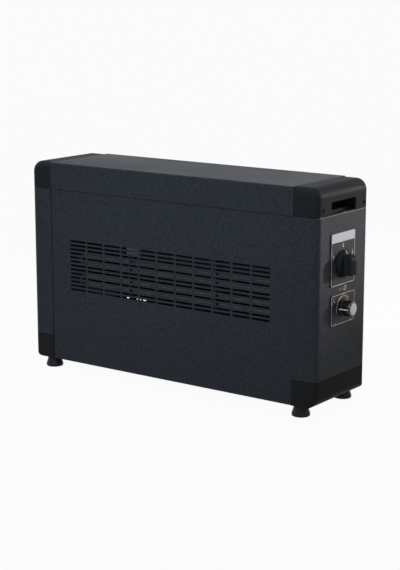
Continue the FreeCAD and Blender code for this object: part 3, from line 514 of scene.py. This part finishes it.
def makeDial():
    d = dialShape
    place = onEnd(dialY, dialZ, dialLow[0])
    makePiece("thermostatKnob", "thermostat_dial", dialBlack, [(flutedBarrel(), place)],
              ["thermostat_knob"], d["sharp"])
    discPlace = onEnd(dialY, dialZ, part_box("thermostat_knob_disc")[0][0])
    makePiece("thermostatDisc", "thermostat_dial", finishes["bright_disc"],
              [(turned(d["disc"], d["discSteps"]), discPlace)],
              ["thermostat_knob_disc"])
    line = inkStrip(d["line"], d["lineWidth"], d["lineThick"], (0, 1, 0))
    towardsFront = place @ Matrix.Rotation(math.pi / 2, 4, "Z")
    makePiece("dialLine", "thermostat_dial", lineInk, [(line, towardsFront)])


makeDial()
print("thermostat knob ready")


# prints on the two plates and between them
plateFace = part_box("selector_plate")[1][0]
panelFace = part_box("right_end_panel")[1][0]
printShape = {
    "line": 1.1, "margin": 0.3, "corner": 2.6, "thick": 0.12,
    "stripCorner": 2.1, "stripThick": 0.15,
    "stripFoot": 258.2,  # above the floor
}


def makeOutline(name, node):
    p = printShape
    low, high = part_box(node)
    width = (high[1] - low[1]) / mm - 2 * p["margin"]
    height = (high[2] - low[2]) / mm - 2 * p["margin"]
    part = rounded(width, height, p["corner"])
    middle = part.faces[:]
    bmesh.ops.inset_region(part, faces=middle, thickness=p["line"] * mm, use_boundary=True,
                           use_even_offset=True)
    bmesh.ops.delete(part, geom=middle, context="FACES")
    raiseFlat(part, p["thick"])
    place = onEnd((low[1] + high[1]) / 2, (low[2] + high[2]) / 2, high[0])
    makePiece(name, "case", whiteInk, [(part, place)])


def makeLabelStrip():
    p = printShape
    low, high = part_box("selector_plate")
    inset = p["margin"] + p["line"] * 0.5  # ends on the middle of the frame's line
    width = (high[1] - low[1]) / mm - 2 * inset
    foot = p["stripFoot"] * mm
    height = (high[2] - foot) / mm - inset
    part = flatPlate(width, height)
    roundCorners(part, [vert for vert in part.verts if vert.co.y > 0], p["stripCorner"])
    raiseFlat(part, p["stripThick"])
    place = onEnd((low[1] + high[1]) / 2, foot + height * mm / 2, high[0])
    makePiece("labelStrip", "case", labelInk, [(part, place)])


numerals = {
    "size": 7.6, "thick": 0.12, "bold": 0.30,
    "marks": [("0", -2.5, 252.0), ("1", -29.0, 236.9), ("2", 24.6, 238.4)],  # text, y and z
}


def numeral(text):
    curve = bpy.data.curves.new("numeral", "FONT")
    curve.body = text
    curve.size = numerals["size"] * mm
    curve.align_x = "CENTER"
    curve.align_y = "CENTER"
    curve.extrude = numerals["thick"] / 2 * mm
    curve.offset = numerals["bold"] * mm
    holder = bpy.data.objects.new("numeral", curve)
    scene.collection.objects.link(holder)
    seen = holder.evaluated_get(bpy.context.evaluated_depsgraph_get())
    mesh = bpy.data.meshes.new_from_object(seen)
    part = bmesh.new()
    part.from_mesh(mesh)
    bmesh.ops.remove_doubles(part, verts=part.verts, dist=1e-7)
    bpy.data.objects.remove(holder)
    bpy.data.curves.remove(curve)
    bpy.data.meshes.remove(mesh)
    return part


def makeNumerals():
    level = plateFace + numerals["thick"] / 2 * mm
    parts = [(numeral(text), onEnd(y * mm, z * mm, level)) for text, y, z in numerals["marks"]]
    makePiece("plateNumerals", "case", whiteInk, parts)


# the scale round the dial in two arcs, angles in degrees from the top towards the rear
scaleShape = {
    "thin": {"radius": 17.8, "widths": (1.1, 2.1), "start": -112, "end": -4, "steps": 40},
    "wide": {"radius": 18.4, "widths": (2.6, 5.6), "start": -3, "end": 54, "steps": 24},
    "moon": {"radius": 2.4, "widths": (0.8, 0.8), "start": 130, "end": 410, "steps": 20},
    "moonPlace": (-25.0, 172.8), "thick": 0.12,
    "wedges": [(-20.6, 135.9), (20.4, 136.2)], "wedgeRadius": 2.6, "wedgeSquash": 0.75,
}


def arcBand(radius, widths, start, end, steps):
    part = bmesh.new()  # one mm wide at first
    inner = part.verts.new((0, (radius - 0.5) * mm, 0))
    outer = part.verts.new((0, (radius + 0.5) * mm, 0))
    edge = part.edges.new((inner, outer))
    bmesh.ops.rotate(part, verts=[inner, outer], cent=(0, 0, 0),
                     matrix=Matrix.Rotation(-math.radians(start), 3, "Z"))
    bmesh.ops.spin(part, geom=[inner, outer, edge], cent=(0, 0, 0), axis=(0, 0, -1),
                   angle=math.radians(end - start), steps=steps)
    for vert in part.verts:  # widen along the arc
        turn = math.degrees(math.atan2(vert.co.x, vert.co.y))
        share = (turn - start) / (end - start)
        width = widths[0] + (widths[1] - widths[0]) * share
        length = vert.co.length / mm
        vert.co *= (radius + (length - radius) * width) / length
    return part


def makeScale():
    s = scaleShape
    thick = s["thick"]
    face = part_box("thermostat_plate")[1][0]
    place = onEnd(dialY, dialZ, face)
    arcs = [(raiseFlat(arcBand(**s[arc]), thick), place) for arc in ("thin", "wide")]
    makePiece("scaleArc", "case", scaleInk, arcs)
    y, z = s["moonPlace"]
    signs = [(raiseFlat(arcBand(**s["moon"]), thick), onEnd(y * mm, z * mm, face))]
    for y, z in s["wedges"]:
        wedge = bmesh.new()
        bmesh.ops.create_circle(wedge, cap_ends=True, segments=3, radius=s["wedgeRadius"] * mm)
        bmesh.ops.scale(wedge, vec=(1, s["wedgeSquash"], 1), verts=wedge.verts)
        signs.append((raiseFlat(wedge, thick), onEnd(y * mm, z * mm, face)))
    makePiece("scaleSigns", "case", whiteInk, signs)


# a red bar, and a ring with a slanting bar; bars are width, height and corner
signShape = {
    "red": (11.0, 4.8, 1.4), "redPlace": (-6.0, 186.3), "thick": 0.12,
    "ring": {"radius": 3.7, "widths": (1.0, 1.0), "start": -180, "end": 179.9, "steps": 32},
    "ringPlace": (7.4, 186.8), "slant": (10.4, 1.0, 0.3), "slantTurn": 40, "slantThick": 0.10,
}


def makeWarmSigns():
    s = signShape
    y, z = s["redPlace"]
    red = raiseFlat(rounded(*s["red"]), s["thick"])
    makePiece("redSign", "case", redInk, [(red, onEnd(y * mm, z * mm, panelFace))])
    y, z = s["ringPlace"]
    place = onEnd(y * mm, z * mm, panelFace)
    ring = raiseFlat(arcBand(**s["ring"]), s["thick"])
    slant = raiseFlat(rounded(*s["slant"]), s["slantThick"])
    slantPlace = place @ Matrix.Rotation(math.radians(s["slantTurn"]), 4, "Z")
    makePiece("ringSign", "case", whiteInk, [(ring, place), (slant, slantPlace)])


makeOutline("selectorOutline", "selector_plate")
makeOutline("thermostatOutline", "thermostat_plate")
makeLabelStrip()
makeNumerals()
makeScale()
makeWarmSigns()
print("plate prints ready")


# screws: cross heads in the caps and the base, hexagon heads in the rear
crossShape = {
    "head": 3.3, "headHeight": 1.4, "shank": 1.8, "shankLength": 9.0, "segments": 32,
    "rim": 2.2, "shoulder": 2.9, "rimDrop": 0.15, "shoulderDrop": 0.45,
    "crossHalf": 0.45, "crossReach": 1.75, "crossDepth": 0.8, "crossTaper": 0.7,
}
hexShape = {
    "across": 7.0, "height": 2.4, "chamfer": 0.45, "dishWall": 0.9, "dishDepth": 0.35,
    "flange": [(0, 0), (4.4, 0), (4.4, 0.35), (3.9, 0.7), (3.0, 0.8), (0, 0.8)],
    "shank": [(0, -9.0), (1.8, -9.0), (1.8, 0.2), (0, 0.2)], "flangeSteps": 32, "shankSteps": 20,
    "sideTop": 260.5,  # upper screws at the sides, above the floor
    "topRow": (-195.0, -65.0, 65.0, 195.0),  # from the case's middle
}


def crossHead():
    s = crossShape
    part = bmesh.new()  # top of the head at local z 0
    half, reach = s["crossHalf"], s["crossReach"]
    corners = []
    for quarter in range(4):
        turn = Matrix.Rotation(quarter * math.pi / 2, 3, "Z")
        for x, y in ((reach, -half), (reach, half), (half, half)):
            corners.append(part.verts.new(turn @ Vector((x * mm, y * mm, 0))))
    cross = [part.edges.new(pair) for pair in zip(corners, corners[1:] + corners[:1])]
    bmesh.ops.create_circle(part, segments=s["segments"], radius=s["rim"] * mm)
    edges = [edge for edge in part.edges if edge not in cross]
    bmesh.ops.triangle_fill(part, use_beauty=True, edges=part.edges[:])
    floor = nextRing(part, cross, -s["crossDepth"], s["crossTaper"])
    bmesh.ops.contextual_create(part, geom=floor)
    edges = nextRing(part, edges, -s["rimDrop"], s["shoulder"] / s["rim"])
    edges = nextRing(part, edges, -s["shoulderDrop"], s["head"] / s["shoulder"])
    edges = nextRing(part, edges, s["rimDrop"] + s["shoulderDrop"] - s["headHeight"])
    edges = nextRing(part, edges, 0, s["shank"] / s["head"])
    edges = nextRing(part, edges, -s["shankLength"])
    bmesh.ops.contextual_create(part, geom=edges)
    bmesh.ops.recalc_face_normals(part, faces=part.faces)
    return part


def hexHead():
    s = hexShape
    part = bmesh.new()  # seat of the head at local z 0
    radius = s["across"] / math.sqrt(3)
    bmesh.ops.create_circle(part, cap_ends=True, segments=6, radius=radius * mm)
    raiseFlat(part, s["height"])
    middle = s["height"] / 2 * mm
    crown = [edge for edge in part.edges if min(vert.co.z for vert in edge.verts) > middle]
    bmesh.ops.bevel(part, geom=crown, offset=s["chamfer"] * mm, segments=2, profile=0.5,
                    affect="EDGES", material=-1)
    top = max(part.faces, key=lambda face: face.calc_center_median().z)
    bmesh.ops.inset_region(part, faces=[top], thickness=s["dishWall"] * mm)
    bmesh.ops.translate(part, vec=(0, 0, -s["dishDepth"] * mm), verts=top.verts)
    pour(part, turned(s["flange"], s["flangeSteps"]), Matrix())
    pour(part, turned(s["shank"], s["shankSteps"]), Matrix())
    return part


def makeScrews():
    dark = finishes["dark_screw"]
    reach = crossShape["head"] * mm
    low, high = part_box("cap_screws")
    middleZ = (low[2] + high[2]) / 2
    heads = []
    for y in (low[1] + reach, high[1] - reach):
        heads.append((crossHead(), facing((high[0], y, middleZ), (0, 1, 0), (1, 0, 0))))
        heads.append((crossHead(), facing((low[0], y, middleZ), (0, -1, 0), (-1, 0, 0))))
    makePiece("capScrews", "case", dark, heads, ["cap_screws"])
    low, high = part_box("base_screws")
    heads = []
    for x in (low[0] + reach, high[0] - reach):
        for y in (low[1] + reach, high[1] - reach):
            heads.append((crossHead(), facing((x, y, low[2]), (1, 0, 0), (0, 0, -1))))
    makePiece("baseScrews", "case", dark, heads, ["base_screws"])
    low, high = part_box("rear_screws")
    s = hexShape
    toFlat, toCorner = s["across"] / 2 * mm, s["across"] / math.sqrt(3) * mm
    middleX = (low[0] + high[0]) / 2
    sideX = high[0] - toCorner - middleX
    places = [(middleX + side * sideX, z) for side in (-1, 1)
              for z in (low[2] + toFlat, s["sideTop"] * mm)]
    places += [(middleX + step * mm, high[2] - toFlat) for step in s["topRow"]]
    seat = high[1] - s["height"] * mm
    heads = [(hexHead(), facing((x, seat, z), (-1, 0, 0), (0, 1, 0))) for x, z in places]
    makePiece("rearScrews", "case", dark, heads, ["rear_screws"])


makeScrews()
print("screws ready")


# levelling feet, hollow for their studs
footShape = {
    "profile": [
        (0, 0), (12.6, 0), (13.6, 0.5), (14.0, 1.3), (14.0, 3.8), (13.9, 4.3), (13.6, 5.1),
        (11.3, 12.3), (11.06, 13.2), (11.0, 13.9), (11.0, 15.8), (10.6, 16.3), (4.06, 16.3),
        (4.06, 5.0), (0, 5.0),
    ],
    "steps": 72, "sharp": 30,
}


def makeFeet():
    f = footShape
    for corner in ("front_left", "front_right", "rear_left", "rear_right"):
        low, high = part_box("foot_pad_" + corner)
        place = Matrix.Translation(((low[0] + high[0]) / 2, (low[1] + high[1]) / 2, low[2]))
        side = "".join(word.capitalize() for word in corner.split("_"))
        makePiece("footPad" + side, "foot_" + corner, finishes["foot_plastic"],
                  [(turned(f["profile"], f["steps"]), place)],
                  ["foot_pad_" + corner], f["sharp"])


makeFeet()
print("feet ready")


# floor, light and camera
studio = {
    "floorSize": 400.0, "floorColour": (0.90, 0.90, 0.90), "floorBounce": (0.42, 0.42, 0.42),
    "floorGlow": 0.95, "floorRough": 0.9, "floorGloss": 0.1,
    "skyLevel": 0.25, "skyColour": (0.97, 0.98, 1.0),
}


def seenDirectly(tree):
    path = tree.nodes.new("ShaderNodeLightPath")
    total = path.outputs["Is Camera Ray"]
    for kind in ("Is Glossy Ray", "Is Transmission Ray"):
        total = mathNode(tree, "MAXIMUM", total, path.outputs[kind])
    return total


def blendInto(tree, share, first, second, output):
    mix = tree.nodes.new("ShaderNodeMixShader")
    tree.links.new(share, mix.inputs["Fac"])
    tree.links.new(first, mix.inputs[1])
    tree.links.new(second, mix.inputs[2])
    tree.links.new(mix.outputs["Shader"], tree.nodes[output].inputs["Surface"])


def makeFloor():
    mesh = bpy.data.meshes.new("floor")
    bm = bmesh.new()
    bmesh.ops.create_grid(bm, x_segments=1, y_segments=1, size=studio["floorSize"] / 2)
    bm.to_mesh(mesh)
    bm.free()
    floor = bpy.data.objects.new("floor", mesh)
    scene.collection.objects.link(floor)
    material, tree, shader = newMaterial("paleFloor")
    shader.inputs["Roughness"].default_value = studio["floorRough"]
    shader.inputs["Specular IOR Level"].default_value = studio["floorGloss"]
    seen = seenDirectly(tree)
    tone = mixColours(tree, seen, studio["floorBounce"], studio["floorColour"])
    tree.links.new(tone, shader.inputs["Base Color"])
    glow = addNode(tree, "ShaderNodeEmission", Strength=1.0)
    blendInto(tree, mathNode(tree, "MULTIPLY", seen, studio["floorGlow"]),
              shader.outputs["BSDF"], glow.outputs["Emission"], "Material Output")
    mesh.materials.append(material)


def makeSky():
    world = bpy.data.worlds.new("paleRoom")
    world.use_nodes = True
    scene.world = world
    tree = world.node_tree
    lit = tree.nodes["Background"]
    lit.inputs["Color"].default_value = (*studio["skyColour"], 1)
    lit.inputs["Strength"].default_value = studio["skyLevel"]
    white = addNode(tree, "ShaderNodeBackground", Color=(1, 1, 1, 1), Strength=1.0)
    blendInto(tree, seenDirectly(tree), lit.outputs["Background"], white.outputs["Background"],
              "World Output")


def aimed(place, aim):
    return (Vector(aim) - Vector(place)).to_track_quat("-Z", "Y").to_euler()


lamps = {
    "rightSoftbox": {
        "place": (1.1, 1.9, 0.55), "aim": (0.26, 0.01, 0.288), "size": 0.26, "spread": 6,
        "power": 0.200, "colour": (1.0, 0.99, 0.97),
    },
    "frontSoftbox": {
        "place": (0.4, -2.5, 2.9), "aim": (0.0, 0.0, 0.50), "size": 0.8, "spread": 11,
        "power": 1.00, "colour": (0.72, 0.98, 1.28),
    },
    "topSoftbox": {
        "place": (0.1, 0.5, 2.6), "aim": (0.0, 0.0, 0.2), "size": 1.0, "spread": 60,
        "power": 0.46, "colour": (1.0, 1.0, 1.0),
    },
    "leftSoftbox": {
        "place": (-2.4, 0.4, 1.0), "aim": (-0.28, 0.0, 0.2), "size": 0.8, "spread": 40,
        "power": 1.2, "colour": (1.0, 1.0, 1.0),
    },
}


def makeLamp(name, place, aim, size, spread, power, colour):
    lamp = bpy.data.lights.new(name, "AREA")
    lamp.size = size
    lamp.spread = math.radians(spread)
    lamp.energy = power
    lamp.color = colour
    holder = bpy.data.objects.new(name, lamp)
    holder.location = place
    holder.rotation_euler = aimed(place, aim)
    scene.collection.objects.link(holder)


shot = {
    "place": (1.3544, -1.8471, 0.6462), "aim": (0.003885, 0.0, 0.158937),
    "lens": 93.11, "sensor": 36.0, "clipEnd": 50,
}


def makeCamera():
    lens = bpy.data.cameras.new("photoCamera")
    lens.lens = shot["lens"]
    lens.sensor_width = shot["sensor"]
    lens.clip_end = shot["clipEnd"]
    camera = bpy.data.objects.new("photoCamera", lens)
    camera.location = shot["place"]
    camera.rotation_euler = aimed(shot["place"], shot["aim"])
    scene.collection.objects.link(camera)
    scene.camera = camera


makeFloor()
makeSky()
for name, lamp in lamps.items():
    makeLamp(name, **lamp)
makeCamera()
scene.view_settings.view_transform = "Standard"
print("studio ready")
